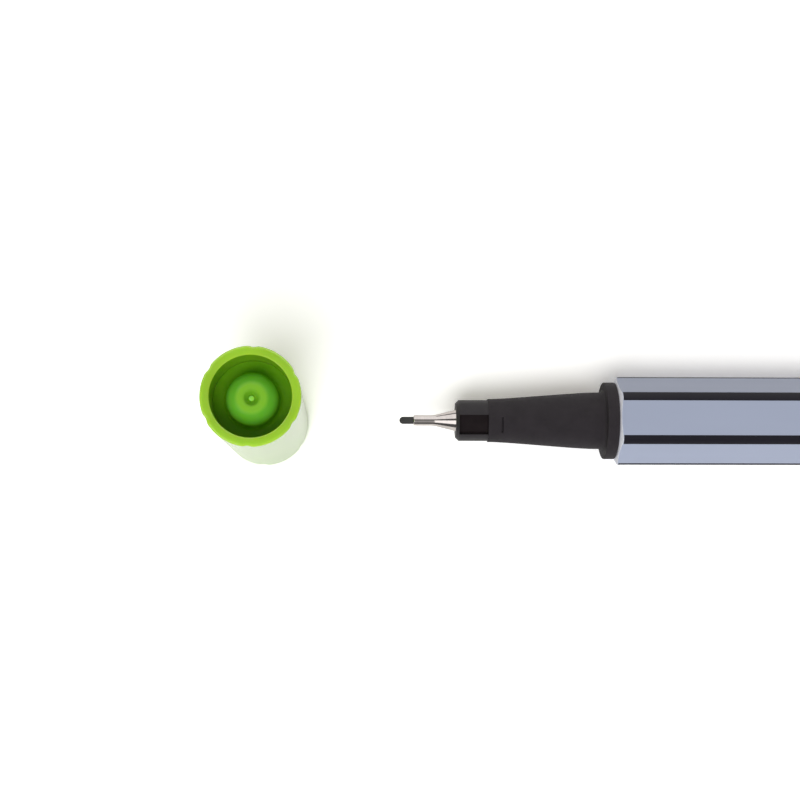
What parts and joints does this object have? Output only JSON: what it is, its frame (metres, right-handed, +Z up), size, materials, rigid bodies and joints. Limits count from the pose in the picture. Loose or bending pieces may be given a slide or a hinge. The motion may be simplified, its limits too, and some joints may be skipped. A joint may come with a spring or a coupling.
{
  "type": "fineliner pen",
  "caption": "Uncapped fineliner pen with a hexagonal barrel, black corner stripes, tapered nose and metal-sheathed fibre nib, its green cap standing on its mouth beside it.",
  "frame": {"origin": "middle of the barrel's lowest flat, on the table", "axes": "+X along the pen from the nib to the tail, +Y across it, +Z up; the cap stands ahead of the nib toward -X"},
  "size_m": [0.1744, 0.0088, 0.029],
  "materials": {
    "barrel_plastic": "satin moulded plastic",
    "stripe_black": "satin black",
    "section_black": "satin black moulding",
    "tip_metal": "drawn and polished",
    "nib_fibre": "hard ink-dark fibre",
    "reservoir_fibre": "fibre bundle dark with ink",
    "wrap_film": "thin film",
    "cap_green": "glossy lime moulding",
    "cup_green": "glossy green moulding"
  },
  "bodies": {
    "pen": {"barrel": "barrel_plastic", "corner_stripes": "stripe_black", "section": "section_black", "tip_carrier": "section_black", "tip_sleeve": "tip_metal", "nib": "nib_fibre", "reservoir": "reservoir_fibre", "reservoir_wrap": "wrap_film", "tail_plug": "cap_green"},
    "cap": {"cap_shell": "cap_green", "cap_inner_cup": "cup_green"}
  },
  "joints": [
    {"name": "cap_lift", "type": "slide", "parent": "pen", "child": "cap", "axis": [0, 0, 1], "range_m": [0, 0.045]}
  ]
}
